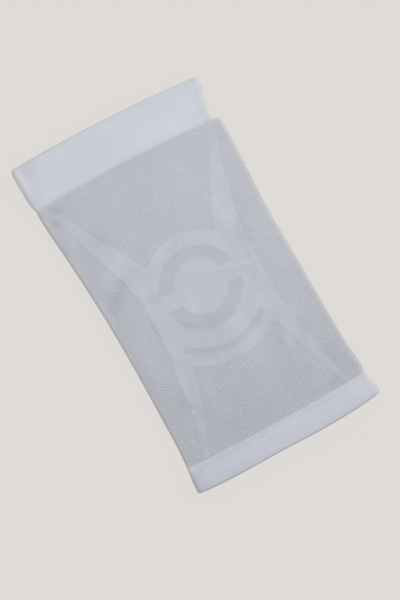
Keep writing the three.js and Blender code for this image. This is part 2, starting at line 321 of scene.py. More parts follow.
# Dents and creases in the front: middle, turn of the long way from +X in degrees, half length, half width and
# depth, where a depth below zero is a swelling
DENTS = (
    (-0.069, 0.129, 90, 0.01, 0.007, 0.001),
    (-0.028, 0.118, 0, 0.014, 0.01, 0.0003),
    (0.04, 0.108, 0, 0.03, 0.009, -0.0006),
    (-0.058, 0.106, 0, 0.016, 0.005, -0.0003),
    (-0.069, 0.087, 83, 0.0055, 0.0034, 0.0011),
    (-0.064, 0.0952, -28, 0.005, 0.0032, 0.0009),
    (-0.0695, 0.097, 45, 0.004, 0.004, -0.0006),
    (0.027, 0.073, 90, 0.03, 0.016, -0.0005),
    (-0.064, 0.103, 90, 0.008, 0.006, -0.0003),
    (-0.058, 0.079, 80, 0.015, 0.006, -0.0003),
    (-0.0665, 0.07, 85, 0.013, 0.006, -0.001),
    (-0.046, 0.057, 115, 0.01, 0.006, 0.0009),
    (0.0665, 0.086, 90, 0.008, 0.005, 0.0005),
    (0.058, 0.07, 90, 0.009, 0.008, 0.0004),
    (-0.06, 0.05, 0, 0.009, 0.008, 0.0003),
    (-0.0415, 0.042, 25, 0.008, 0.0065, -0.0006),
    (0.038, 0.042, 90, 0.014, 0.006, -0.0005),
    (-0.056, 0.0325, 33, 0.011, 0.0065, -0.001),
    (-0.036, 0.025, 90, 0.01, 0.0075, 0.0005),
    (-0.029, 0.037, 10, 0.009, 0.005, 0.0005),
    (-0.015, 0.03, 20, 0.008, 0.004, -0.0003),
    (-0.006, 0.026, 0, 0.007, 0.005, 0.0003),
    (0.054, 0.031, 90, 0.01, 0.008, 0.0005),
    (-0.0565, 0.018, 37, 0.015, 0.0055, 0.0011),
    (-0.0475, 0.024, 45, 0.0045, 0.003, 0.0004),
    (-0.066, 0.011, 90, 0.008, 0.004, 0.0007),
    (0.04, 0.025, 80, 0.009, 0.0045, -0.0006),
    (0.044, 0.0135, 80, 0.01, 0.0055, 0.0012),
    (0.024, 0.018, 45, 0.005, 0.004, -0.0005),
    (-0.0345, 0.003, 0, 0.0065, 0.005, 0.0007),
    (-0.0385, 0.0105, 60, 0.004, 0.0025, -0.0004),
    (0.04, 0.0018, -8, 0.007, 0.001, -0.0004),
    (0.041, -0.0012, -12, 0.007, 0.0009, 0.0004),
    (0.0345, -0.005, -20, 0.01, 0.0011, -0.0004),
    (0.035, -0.0115, -20, 0.006, 0.0025, 0.0003),
    (0.011, 0.002, 0, 0.007, 0.006, -0.0004),
    (0.034, 0.008, 90, 0.006, 0.0045, 0.0004),
    (0.041, -0.002, 90, 0.01, 0.0035, 0.0003),
    (0.0375, -0.016, 90, 0.008, 0.0055, 0.0004),
    (-0.012, 0.021, 20, 0.009, 0.006, 0.0003),
    (-0.001, -0.0245, 0, 0.008, 0.0045, -0.0003),
    (0.01, 0.062, 90, 0.022, 0.014, -0.0004),
    (-0.013, -0.015, 60, 0.01, 0.0075, -0.0007),
    (-0.0435, -0.015, 90, 0.005, 0.0018, 0.0004),
    (-0.023, -0.0245, -40, 0.006, 0.004, 0.0008),
    (0.019, -0.0265, 40, 0.012, 0.006, -0.0008),
    (-0.0605, -0.038, 88, 0.027, 0.0125, -0.0011),
    (0.012, -0.04, 10, 0.009, 0.005, -0.0006),
    (-0.009, -0.0355, 0, 0.008, 0.005, 0.0005),
    (0.0285, -0.038, 90, 0.007, 0.006, -0.0005),
    (0.036, -0.035, 0, 0.005, 0.005, -0.0005),
    (-0.04, -0.033, 90, 0.007, 0.006, -0.0005),
    (0.006, -0.068, 90, 0.016, 0.01, -0.0005),
    (0.013, -0.056, 80, 0.015, 0.011, -0.001),
    (0.05, -0.052, 90, 0.0065, 0.005, -0.0004),
    (-0.024, -0.055, 0, 0.006, 0.004, -0.0004),
    (-0.033, -0.069, 90, 0.008, 0.007, -0.0005),
    (-0.0475, -0.062, 75, 0.011, 0.0045, -0.0006),
    (0.0365, -0.067, 75, 0.009, 0.004, -0.0011),
    (0.049, -0.067, 80, 0.007, 0.004, 0.0007),
    (-0.053, -0.07, 80, 0.0065, 0.0045, 0.0005),
    (-0.047, -0.0773, -37, 0.004, 0.0012, 0.0005),
    (-0.043, -0.0835, 60, 0.008, 0.005, 0.0006),
    (-0.056, -0.087, 45, 0.006, 0.005, -0.0004),
    (-0.0495, -0.093, 45, 0.005, 0.003, -0.0004),
    (-0.018, -0.087, 0, 0.009, 0.006, 0.0003),
    (0.054, -0.089, -72, 0.008, 0.003, 0.0004),
    (0.044, -0.093, -72, 0.009, 0.0035, -0.0004),
    (0.021, -0.107, 0, 0.007, 0.005, 0.0004),
    (-0.026, -0.106, 0, 0.03, 0.013, 0.0008),
    (-0.061, -0.102, 90, 0.012, 0.006, -0.0006),
    (0.058, -0.1, 90, 0.017, 0.008, 0.0009),
    (0.048, -0.113, 0, 0.018, 0.004, 0.0007),
    (0.066, -0.107, 90, 0.007, 0.004, 0.0007),
    (0.005, -0.121, 0, 0.022, 0.004, -0.0005),
    (-0.038, -0.132, 0, 0.024, 0.004, 0.0004),
)

# Patches of violet yarn in the smooth knit: middle, turn of the long way from +X in degrees, half length,
# half width and strength
VIOLET_PATCHES = (
    (0.034, 0.015, -60, 0.012, 0.0085, 0.9),
    (-0.039, 0.027, -40, 0.009, 0.006, 0.7),
    (-0.008, 0.032, 0, 0.009, 0.004, 0.6),
    (0.013, 0.03, -30, 0.008, 0.004, 0.5),
    (0.04, 0.033, 60, 0.006, 0.004, 0.5),
    (-0.029, -0.018, -50, 0.022, 0.008, 0.9),
    (-0.005, -0.043, 0, 0.007, 0.005, 0.5),
    (0.03, -0.026, 55, 0.016, 0.008, 1),
    (0.038, -0.051, 70, 0.01, 0.0085, 1),
    (0.049, -0.08, -72, 0.03, 0.007, 1),
    (-0.04, -0.054, 80, 0.01, 0.006, 0.6),
)

# Slow swells of the front: turns to the metre across and along, phase in turns, and height
SWELLS = (
    (7.0, 5.0, 0.10, 0.00012),
    (-11.0, 9.0, 0.43, 0.00010),
    (17.0, -6.0, 0.71, 0.00008),
    (5.0, 21.0, 0.27, 0.00006),
)


def metres(name, description, default):
    """A setting that is a length."""
    return FloatProperty(name=name, description=description, default=default, unit="LENGTH")


def degrees(name, description, default):
    """A setting that is an angle, whose default is given in degrees."""
    return FloatProperty(name=name, description=description, default=math.radians(default), subtype="ANGLE")


def ratio(name, description, default):
    """A setting that is a number without a unit."""
    return FloatProperty(name=name, description=description, default=default)


def count(name, description, default):
    """A setting that is a whole number."""
    return IntProperty(name=name, description=description, default=default)


def spot(name, description, default):
    """A setting that is a place across and along the leg."""
    return FloatVectorProperty(name=name, description=description, size=2, default=default, unit="LENGTH")


def tint(name, description, default):
    """A setting that is a colour."""
    return FloatVectorProperty(name=name, description=description, subtype="COLOR", default=default)


class SleeveSizes(bpy.types.PropertyGroup):
    """Sizes of the knit and of the space between its front and back."""

    welt_wall: metres("Welt thickness", "Thickness of the thigh welt", 0.0016)
    body_wall: metres("Body thickness", "Thickness of the pique body", 0.0015)
    cuff_wall: metres("Cuff thickness", "Thickness of the ribbed cuff", 0.0019)
    clear_at_middle: metres("Clear at middle", "Inner height along the middle", 0.0064)
    crown_power: ratio("Crown power", "How flat the top of the front is", 6.0)
    body_wales: count("Body wales", "Columns of stitches round the body, an even number", 168)
    cuff_wales: count("Cuff wales", "Columns of stitches round the welt and the cuff", 160)
    body_courses: count("Body courses", "Rows of stitches up the body", 176)
    cuff_course: metres("Cuff course", "Height of a row of stitches of welt and cuff", 0.00128)
    pique_depth: metres("Pique depth", "How far the pique dots stand above their ground", 0.00012)
    dot_sharpness: ratio("Dot sharpness", "How small the pique dots are", 5.0)
    rib_depth: metres("Rib depth", "Depth of the valleys between the cuff's ribs", 0.00022)
    welt_rib_depth: metres("Welt rib depth", "Depth of the faint ribs of the welt", 0.00002)
    strip_height: metres("Strip height", "Height of the smooth strip above the ribs", 0.0043)
    strip_rise: metres("Strip rise", "How far the strip swells above the ribs", 0.00015)
    seam_turn: metres("Seam turn", "Length over which a cuff's edge turns down to a seam", 0.0014)
    seam_edge: metres("Seam edge", "Height of the last row of the body at a seam", 0.0001)
    seam_gap: metres("Seam gap", "Clear distance between two pieces at a seam", 0.00001)
    upper_corner: metres("Upper corner", "Radius of the welt rim's corners", 0.0030)
    lower_corner: metres("Lower corner", "Radius of the cuff rim's corners", 0.0018)
    upper_droop: metres("Upper droop", "How far the front sinks at the welt's rim", 0.0004)
    lower_droop: metres("Lower droop", "How far the front sinks at the cuff's rim", 0.0011)
    rim_reach: metres("Rim reach", "How far from a rim the front starts to sink", 0.0034)


class SupportPattern(bpy.types.PropertyGroup):
    """Sizes of the pattern round the kneecap."""

    centre: metres("Centre", "Level of the ring's middle on the front", -0.0042)
    relief: metres("Relief", "How far the smooth knit stands above the pique", 0.0003)
    ring_turn: degrees("Ring turn", "Turn of the ring and of the arc under it", -1.8)
    ring_outer: metres("Ring outer radius", "Outer radius of the ring", 0.0304)
    ring_shift: spot("Ring shift", "Place of the ring's middle beside the centre", (-0.0010, -0.0005))
    ring_inner: metres("Ring inner radius", "Radius of the ring's hole across the leg", 0.0197)
    hole_stretch: ratio("Hole stretch", "Height of the ring's hole beside its width", 1.04)
    hole_shift: spot("Hole shift", "Place of the hole's middle beside the centre", (-0.0008, 0.0003))
    ring_gap: metres("Ring gap", "Height of the gap that splits the ring", 0.0130)
    arc_outer: metres("Arc outer radius", "Outer radius of the arc under the ring", 0.0494)
    arc_inner: metres("Arc inner radius", "Inner radius of the arc under the ring", 0.0445)
    arc_half_angle: degrees("Arc half angle", "How far the arc goes to either side", 42.5)
    plate_upper: metres("Plate upper radius", "Radius of the smooth plate above", 0.0406)
    plate_lower: metres("Plate lower radius", "Radius of the smooth plate below", 0.0576)
    plate_half_width: metres("Plate half width", "Half the width of the smooth plate", 0.0442)
    blur: metres("Edge blur", "Width over which one knit changes to the other", 0.0012)
    fade_from: metres("Fade from", "Level where the bands start to run out into the pique", 0.0620)
    fade_share: ratio("Fade share", "How much of the bands is gone at the welt", 0.80)


class YarnColours(bpy.types.PropertyGroup):
    """Colours of the knits."""

    welt: tint("Welt", "Yarn of the thigh welt", (0.637, 0.661, 0.727))
    # The dots' lightness and the pits' darkness are partly the knit's own look, partly painted light and
    # shade
    pique_dot: tint("Pique dots", "Raised dots of the body", (0.637, 0.661, 0.727))
    pit_shade: ratio("Pit shade", "Lightness of the pits between the dots", 0.755)
    ground: tint("Ground", "Knit between the dots", (0.543, 0.563, 0.619))
    smooth: tint("Smooth knit", "Plate and bands of the pattern", (0.557, 0.576, 0.632))
    smooth_violet: tint("Violet patches", "Patches of the plate and the bands", (0.556, 0.574, 0.662))
    ring: tint("Ring knit", "Ring and arc of the pattern", (0.510, 0.530, 0.581))
    strip: tint("Strip", "Smooth strip above the ribs", (0.569, 0.585, 0.638))
    rib: tint("Ribs", "Yarn of the ribbed cuff", (0.625, 0.638, 0.724))
    # Painted shade towards the calf: the body's lightness at the cuff beside that at the welt
    calf_painted_shade: ratio("Calf shade", "Lightness of the body at the cuff beside the welt's", 0.925)


class StageSettings(bpy.types.PropertyGroup):
    """Floor, light and camera."""

    floor_size: metres("Floor size", "Side of the floor", 24.0)
    floor_drop: metres("Floor drop", "How far the floor lies below the knit", 0.0001)
    floor_colour: tint("Floor", "Colour of the floor", (0.030, 0.029, 0.028))
    floor_glow: tint("Floor glow", "Light of the lit table under the knit", (0.7060, 0.6787, 0.6577))
    ambient: ratio("Ambient", "Strength of the even light from all round", 0.707)
    key_strength: ratio("Key light", "Strength of the soft key light", 1.139)
    key_angle: degrees("Key spread", "Angle that the key light fills", 50.0)
    key_height: degrees("Key height", "Angle of the key light above the floor", 38.0)
    key_side: degrees("Key side", "Turn of the key light from +X towards +Y", 31.0)
    lens: FloatProperty(name="Lens", description="Focal length of the camera", default=120.0, unit="CAMERA")
    view_height: metres("View height", "Height of the picture at the front of the knit", 0.4309)
    view_centre: spot("View centre", "Place at the middle of the picture", (-0.0036, -0.0120))
    view_roll: degrees("View roll", "Turn of the picture about the line of sight", -30.0)


def columns(rows, fields):
    """The columns of a table of rows, as a dict of arrays."""
    return dict(zip(fields, np.array(rows, dtype=float).T))


def smooth_curve(at, x, y):
    """A curve through the points (x, y) that doesn't overshoot, at the places at.

    Each stretch is a cubic whose slopes at its ends are the harmonic mean of the slopes of the stretches on
    either side, or zero where those differ in sign.
    """
    step = np.diff(x)
    slope = np.diff(y) / step
    product = slope[:-1] * slope[1:]
    total = slope[:-1] + slope[1:]
    inner = np.where(product > 0, 2 * product / np.where(total == 0, 1, total), 0)
    ends = np.concatenate([slope[:1], inner, slope[-1:]])
    index = np.clip(np.searchsorted(x, at) - 1, 0, len(step) - 1)
    width = step[index]
    share = (at - x[index]) / width
    near = (1 + 2 * share) * (1 - share) ** 2 * y[index] + share * (1 - share) ** 2 * width * ends[index]
    far = share**2 * (3 - 2 * share) * y[index + 1] + share**2 * (share - 1) * width * ends[index + 1]
    return near + far


def step_between(low, high, values):
    """0 below low, 1 above high and a smooth step between them."""
    share = np.clip((values - low) / (high - low), 0, 1)
    return share * share * (3 - 2 * share)


def tube_surface(sections, levels, turns, inset, wall, sizes):
    """Points of the flattened tube at some levels and turns, inset below its outer face.

    Going once round a section by length, the front runs from the left fold to the right one, the right fold
    is a half circle down to the back, the back is flat on the floor and the left fold is a half circle up.
    The front rises from the folds by (1 - |s|^power)^2, where s goes from -1 at the left fold to 1 at the
    right one. Inset moves a point along the normal, towards the inside. Returns the points, s, which is 2 off
    the front, and how far each point lies beyond the folds' outer faces.
    """
    table = columns(sections, SECTION_FIELDS)
    level = levels[:, None]
    left, right, lean, bow, clear = (
        smooth_curve(levels, table["level"], table[field])[:, None] for field in SECTION_FIELDS[1:]
    )
    fold = clear / 2 + wall
    radius = fold - inset
    flat = right - left - 2 * fold
    half_turn = math.pi * fold
    length = turns[None, :] * 2 * (flat + half_turn)
    on_front = length < flat
    on_right = ~on_front & (length < flat + half_turn)
    on_back = ~on_front & ~on_right & (length < 2 * flat + half_turn)
    across = np.where(on_front, 2 * length / flat - 1, 2.0)
    crown = (1 - np.clip(np.abs(across), 0, 1) ** sizes.crown_power) ** 2
    right_angle = math.pi / 2 - (length - flat) / fold
    left_angle = -math.pi / 2 - (length - 2 * flat - half_turn) / fold
    back_x = right - fold - (length - flat - half_turn)
    x = np.select(
        [on_front, on_right, on_back],
        [left + fold + length, right - fold + radius * np.cos(right_angle), back_x],
        left + fold + radius * np.cos(left_angle),
    )
    rise = (sizes.clear_at_middle - clear) * crown
    z = np.select(
        [on_front, on_right, on_back],
        [fold + radius + rise, fold + radius * np.sin(right_angle), fold - radius],
        fold + radius * np.sin(left_angle),
    )
    half_width = (right - left) / 2
    from_middle = x - (left + right) / 2
    y = level + lean * x + bow * (from_middle / half_width) ** 2
    beside = np.abs(from_middle) - half_width
    return np.stack([x, y, z], axis=-1), across, beside


def fold_window(across):
    """1 along the front, falling to 0 at the folds as 1 - |s|^power, and 0 off the front."""
    return np.clip(1 - np.abs(across) ** FOLD_POWER, 0, 1)


def soft_spots(points, spots):
    """The sum of some soft spots at each point.

    A spot is its strength times exp(-u^2 - v^2), with u and v the distances from its middle along it in half
    lengths and across it in half widths.
    """
    x, y = points[..., 0], points[..., 1]
    total = np.zeros_like(x)
    for place_x, place_y, turn, half_length, half_width, strength in spots:
        along_x, along_y = math.cos(math.radians(turn)), math.sin(math.radians(turn))
        along = ((x - place_x) * along_x + (y - place_y) * along_y) / half_length
        aside = ((y - place_y) * along_x - (x - place_x) * along_y) / half_width
        total += strength * np.exp(-(along**2) - aside**2)
    return total


def moved(points, axis, amount):
    """The points, with an amount for each added to one coordinate."""
    result = points.copy()
    result[..., axis] += amount
    return result


def settled(points, across):
    """Lowers the front by its dents and by slow swells, plane waves of so many turns to the metre each way.

    Both die out at the folds. Returns the lowered points and the depth of the dents at each.
    """
    x, y = points[..., 0], points[..., 1]
    swell = np.zeros_like(x)
    for waves_across, waves_along, phase, height in SWELLS:
        swell += height * np.sin(2 * math.pi * (waves_across * x + waves_along * y + phase))
    dents = soft_spots(points, DENTS) * fold_window(across)
    return moved(points, UP_AXIS, -(dents + swell * fold_window(across))), dents


def droop_at_rim(points, across, from_rim, droop, reach):
    """Sinks the front at a rim, by the droop times the cube of how far into the rim's reach a point is."""
    into = np.clip(1 - from_rim / reach, 0, 1)
    return moved(points, UP_AXIS, -droop * (into**3)[:, None] * fold_window(across))


def turn_corners(points, beside, from_rim, radius, towards):
    """Rounds a rim's corners: by the folds, points move away from the rim by radius - sqrt(radius^2 - d^2).

    d is how far a point lies inside the last radius before the fold. The move dies out a little more than a
    radius down from the rim.
    """
    inside = np.clip(1 + beside / radius, 0, 1)
    fade = np.clip(1 - from_rim / (CORNER_REACH * radius), 0, 1)[:, None]
    return moved(points, LEG_AXIS, towards * radius * (1 - np.sqrt(1 - inside**2)) * fade)


def stray_at_rim(points, from_rim, reach):
    """Moves the rim of the cuff along the leg by its stray, which dies out evenly over the reach."""
    table = columns(RIM_STRAY, STRAY_FIELDS)
    rise = smooth_curve(points[..., 0], table["x"], table["rise"])
    return moved(points, LEG_AXIS, rise * np.clip(1 - from_rim / reach, 0, 1)[:, None])


def round_end(wall, rows):
    """A half circle from the outer face to the inner: distances back from the end, and depths."""
    angle = np.linspace(0, math.pi, rows + 2)[1:-1]
    return wall / 2 * (1 - np.sin(angle)), wall / 2 * (1 - np.cos(angle))


def turned_end(length, depth, rows):
    """A smooth step down from the outer face to a depth: distances back from the end, and depths."""
    share = np.linspace(0, 1, rows + 1)[1:]
    return length * (1 - share), depth * step_between(0, 1, share)


def wall_profile(outer, wall, inner, low_end, high_end):
    """One loop round a wall's own section: level and depth of its rows, and which are on the outer face.

    It runs up the outer levels, over the high end, down the inner levels and round the low end. An end is a
    pair of arrays, its rows' levels and depths from the outer face to the inner.
    """
    high_levels, high_depths = high_end
    low_levels, low_depths = low_end
    levels = np.concatenate([outer, high_levels, inner, low_levels[::-1]])
    depths = np.concatenate([np.zeros(len(outer)), high_depths, np.full(len(inner), wall), low_depths[::-1]])
    return levels, depths, depths < wall / 2


def knit_mesh(name, points, wales, courses, material, attributes):
    """A mesh object from a grid of points that closes both ways, with its stitch map and its bake map.

    Row i and column j join rows i + 1 and columns j + 1, counted round. The stitch map gives each corner its
    wale and course. The bake map spreads the columns over its width and the rows, by length, over its height.
    """
    rows, cols = points.shape[:2]
    row = np.arange(rows)[:, None]
    col = np.arange(cols)[None, :]
    next_row, next_col = (row + 1) % rows, (col + 1) % cols
    corners = np.stack(np.broadcast_arrays(
        row * cols + col, row * cols + next_col, next_row * cols + next_col, next_row * cols + col,
    ), axis=-1)
    mesh = bpy.data.meshes.new(name)
    mesh.vertices.add(rows * cols)
    mesh.vertices.foreach_set("co", points.astype(np.float32).ravel())
    mesh.loops.add(corners.size)
    mesh.loops.foreach_set("vertex_index", corners.astype(np.int32).ravel())
    mesh.polygons.add(rows * cols)
    mesh.polygons.foreach_set("loop_start", np.arange(0, corners.size, 4, dtype=np.int32))
    mesh.polygons.foreach_set("use_smooth", np.ones(rows * cols, dtype=bool))
    mesh.update(calc_edges=True)

    # A quarter of the way round is near the middle of the front
    middle = points[:, cols // 4]
    lengths = np.linalg.norm(np.roll(middle, -1, axis=0) - middle, axis=-1)
    along = np.concatenate([[0.0], np.cumsum(lengths)]) / lengths.sum()
    wale_edges = np.append(wales, 2 * wales[-1] - wales[-2])
    course_edges = np.append(courses, courses[0])
    column_of = col[..., None] + np.array([0, 1, 1, 0])
    row_of = row[..., None] + np.array([0, 0, 1, 1])
    maps = {
        STITCH_MAP: (wale_edges[column_of], course_edges[row_of]),
        BAKE_MAP: (column_of / cols, along[row_of]),
    }
    for map_name, sides in maps.items():
        layer = mesh.uv_layers.new(name=map_name)
        pair = np.stack(np.broadcast_arrays(*sides), axis=-1)
        layer.uv.foreach_set("vector", pair.astype(np.float32).ravel())
    mesh.uv_layers.active = mesh.uv_layers[STITCH_MAP]
    for attribute_name, values in attributes.items():
        attribute = mesh.attributes.new(attribute_name, "FLOAT", "POINT")
        attribute.data.foreach_set("value", values.astype(np.float32).ravel())
    mesh.validate()
    mesh.materials.append(material)
    piece = bpy.data.objects.new(name, mesh)
    bpy.context.collection.objects.link(piece)
    return piece


def pattern_zones(points, across, pattern):
    """How much of each point of the front is smooth knit and how much is ring knit, from 0 to 1.

    Each form is a signed distance, positive inside: a disc is its radius less the distance from its centre, a
    strip its half width less the distance from its middle, a crossing the least of two and a union the most.
    Distances turn to shares across the blur. The ring is a disc less a hole, which lies a little off the
    disc's middle and is drawn out up the leg. The gap of the ring and the ends of the arc are turned about
    the centre. Near the welt the bands run out into the pique.
    """
    axis = columns(PATTERN_AXIS, AXIS_FIELDS)
    x = points[..., 0] - np.interp(points[..., 1], axis["level"], axis["x"])
    y = points[..., 1] - pattern.centre
    side = np.abs(x)
    from_centre = np.hypot(x, y)
    below_bands = UPPER_BAND[0][0] - y
    plate = np.maximum(
        np.minimum(pattern.plate_upper - from_centre, y),
        np.minimum.reduce([pattern.plate_lower - from_centre, pattern.plate_half_width - side, below_bands]),
    )
    bands = np.full_like(x, -1.0)
    for rows in (UPPER_BAND, LOWER_BAND):
        band = columns(rows, BAND_FIELDS)
        inner = np.interp(y, band["height"], band["inner"])
        outer = np.interp(y, band["height"], band["outer"])
        within = np.minimum(y - band["height"][0], band["height"][-1] - y)
        bands = np.maximum(bands, np.minimum.reduce([side - inner, outer - side, within + pattern.blur]))
    turned_x = x * math.cos(pattern.ring_turn) + y * math.sin(pattern.ring_turn)
    turned_y = y * math.cos(pattern.ring_turn) - x * math.sin(pattern.ring_turn)
    off_gap = np.abs(turned_y) - pattern.ring_gap / 2
    in_ring = pattern.ring_outer - np.hypot(x - pattern.ring_shift[0], y - pattern.ring_shift[1])
    hole_height = (y - pattern.hole_shift[1]) / pattern.hole_stretch
    off_hole = np.hypot(x - pattern.hole_shift[0], hole_height) - pattern.ring_inner
    ring = np.minimum.reduce([in_ring, off_hole, off_gap])
    off_angle = np.abs(np.arctan2(turned_x, -turned_y))
    arc = np.minimum.reduce([
        pattern.arc_outer - from_centre, from_centre - pattern.arc_inner,
        (pattern.arc_half_angle - off_angle) * from_centre,
    ])
    front = np.abs(across) <= 1
    grey = np.clip(np.maximum(ring, arc) / pattern.blur + 0.5, 0, 1) * front
    smooth = np.clip(np.maximum(plate, bands) / pattern.blur + 0.5, 0, 1) * front
    fade = pattern.fade_share * step_between(pattern.fade_from, UPPER_SEAM, points[..., 1])
    return smooth * (1 - grey) * (1 - fade), grey


def wale_columns(wales, to_wale):
    """The wale of each column of a grid, and how far round the girth it lies, from 0 to 1."""
    at = np.arange(to_wale * wales) / to_wale
    return at, at / wales


def body_piece(sizes, pattern, material):
    """The pique body.

    Its dots are exp(k (p - 1)) with p = cos(pi wale) cos(pi course), which puts one at every other stitch in
    staggered rows, and k their sharpness. The ground lies below the dots by the pique depth, and smooth knit
    stands above them by the relief. Its courses follow the density table: the course at a level is the sum of
    the density up to it, scaled to the whole count.
    """
    low = LOWER_SEAM + sizes.seam_gap / 2
    high = UPPER_SEAM - sizes.seam_gap / 2
    density = columns(COURSE_DENSITY, DENSITY_FIELDS)
    fine_levels = np.linspace(low, high, COURSE_STEPS)
    summed = np.cumsum(np.interp(fine_levels, density["level"], density["density"]))
    fine_courses = (summed - summed[0]) / (summed[-1] - summed[0]) * sizes.body_courses
    outer = np.interp(np.arange(sizes.body_courses + 1), fine_courses, fine_levels)
    outer[0] += sizes.seam_edge
    outer[-1] -= sizes.seam_edge
    inner = np.linspace(high, low, sizes.body_courses // INNER_COURSES)
    low_end = (np.array([low]), np.zeros(1))
    high_end = (np.array([high]), np.zeros(1))
    levels, depths, facing = wall_profile(outer, sizes.body_wall, inner, low_end, high_end)
    courses = np.interp(levels, fine_levels, fine_courses)
    wales, turns = wale_columns(sizes.body_wales, BODY_COLUMNS)
    plain, across, _ = tube_surface(BODY_SECTIONS, levels, turns, depths[:, None], sizes.body_wall, sizes)
    smooth, grey = pattern_zones(plain, across, pattern)
    lattice = np.cos(math.pi * wales)[None, :] * np.cos(math.pi * np.round(courses))[:, None]
    dots = np.exp(sizes.dot_sharpness * (lattice - 1))
    from_seam = np.minimum(courses, sizes.body_courses - courses)
    ground = (1 - smooth - grey) * step_between(*PIQUE_START, from_seam)[:, None]
    relief = pattern.relief * smooth - sizes.pique_depth * ground * (1 - dots)
    inset = depths[:, None] - relief * facing[:, None]
    points, across, beside = tube_surface(BODY_SECTIONS, levels, turns, inset, sizes.body_wall, sizes)
    points, dents = settled(points, across)
    violet = np.clip(soft_spots(plain, VIOLET_PATCHES), 0, 1)
    values = {SMOOTH_ZONE: smooth, RING_ZONE: grey, VIOLET: violet, HOLLOW: dents, FROM_EDGE: -beside}
    return knit_mesh("body_knit", points, wales, courses, material, values)


def cuff_profile(sizes, wall, rim, seam, rows):
    """The loop round the wall of a cuff, whose rim is rounded and whose other edge turns down to the seam.

    The edge goes down by twice what the cuff is thicker than the body. The loop runs up the outer face, also
    where the rim is below the seam.
    """
    upward = math.copysign(1.0, rim - seam)
    edge = seam + upward * sizes.seam_gap / 2
    inside_rim = rim - upward * wall / 2
    seam_back, seam_depths = turned_end(sizes.seam_turn, 2 * (wall - sizes.body_wall), SEAM_ROWS)
    rim_back, rim_depths = round_end(wall, RIM_ROWS)
    seam_end = (edge + upward * seam_back, seam_depths)
    rim_end = (rim - upward * rim_back, rim_depths)
    outer = np.linspace(edge + upward * sizes.seam_turn, inside_rim, rows[0])
    inner = np.linspace(inside_rim, edge, rows[1])
    if upward < 0:
        return wall_profile(outer[::-1], wall, inner[::-1], rim_end, seam_end)
    return wall_profile(outer, wall, inner, seam_end, rim_end)


def rib_valleys(wales):
    """How deep each column lies between two ribs, one rib to a wale: (1 - cos(2 pi wale)) / 2."""
    return (0.5 - 0.5 * np.cos(2 * math.pi * wales))[None, :]


def cuff_mesh(name, points, wales, from_rim, beside, dents, sizes, material):
    """The mesh of a cuff, whose courses are counted from its rim and whose edges are its folds and rim."""
    values = {HOLLOW: dents, FROM_EDGE: np.minimum(-beside, RIM_TINT_PACE * from_rim[:, None])}
    return knit_mesh(name, points, wales, from_rim / sizes.cuff_course, material, values)


def upper_cuff_piece(sizes, material):
    """The welt: faint ribs, one to a wale, a lower edge that turns down to the seam and a rounded rim."""
    wall = sizes.welt_wall
    levels, depths, facing = cuff_profile(sizes, wall, UPPER_RIM, UPPER_SEAM, WELT_ROWS)
    wales, turns = wale_columns(sizes.cuff_wales, CUFF_COLUMNS)
    inset = depths[:, None] + sizes.welt_rib_depth * rib_valleys(wales) * facing[:, None]
    points, across, beside = tube_surface(WELT_SECTIONS, levels, turns, inset, wall, sizes)
    points, dents = settled(points, across)
    from_rim = UPPER_RIM - levels
    points = droop_at_rim(points, across, from_rim, sizes.upper_droop, sizes.rim_reach)
    points = turn_corners(points, beside, from_rim, sizes.upper_corner, -1)
    return cuff_mesh("upper_cuff_knit", points, wales, from_rim, beside, dents, sizes, material)


def lower_cuff_piece(sizes, material):
    """The cuff: a smooth strip that swells under the seam, then ribs, one to a wale, down to a rounded rim.

    The strip swells by 1 - u^2, where u goes from -1 at its lower edge to 1 at the seam, and stays flat on
    the floor behind.
    """
    wall = sizes.cuff_wall
    levels, depths, facing = cuff_profile(sizes, wall, LOWER_RIM, LOWER_SEAM, CUFF_ROWS)
    wales, turns = wale_columns(sizes.cuff_wales, CUFF_COLUMNS)
    ribs_end = LOWER_SEAM - sizes.seam_gap / 2 - sizes.strip_height
    above_ribs = levels - ribs_end
    ribbed = 1 - step_between(-sizes.cuff_course / 2, sizes.cuff_course / 2, above_ribs)
    swelling = np.clip(1 - (2 * above_ribs / sizes.strip_height - 1) ** 2, 0, 1)
    lowered = sizes.rib_depth * rib_valleys(wales) * ribbed[:, None] - sizes.strip_rise * swelling[:, None]
    inset = depths[:, None] + lowered * facing[:, None]
    points, across, beside = tube_surface(CUFF_SECTIONS, levels, turns, inset, wall, sizes)
    points[..., UP_AXIS] = np.maximum(points[..., UP_AXIS], 0)
    points, dents = settled(points, across)
    from_rim = levels - LOWER_RIM
    points = droop_at_rim(points, across, from_rim, sizes.lower_droop, sizes.rim_reach)
    points = turn_corners(points, beside, from_rim, sizes.lower_corner, 1)
    points = stray_at_rim(points, from_rim, ribs_end - LOWER_RIM)
    return cuff_mesh("lower_cuff_knit", points, wales, from_rim, beside, dents, sizes, material)


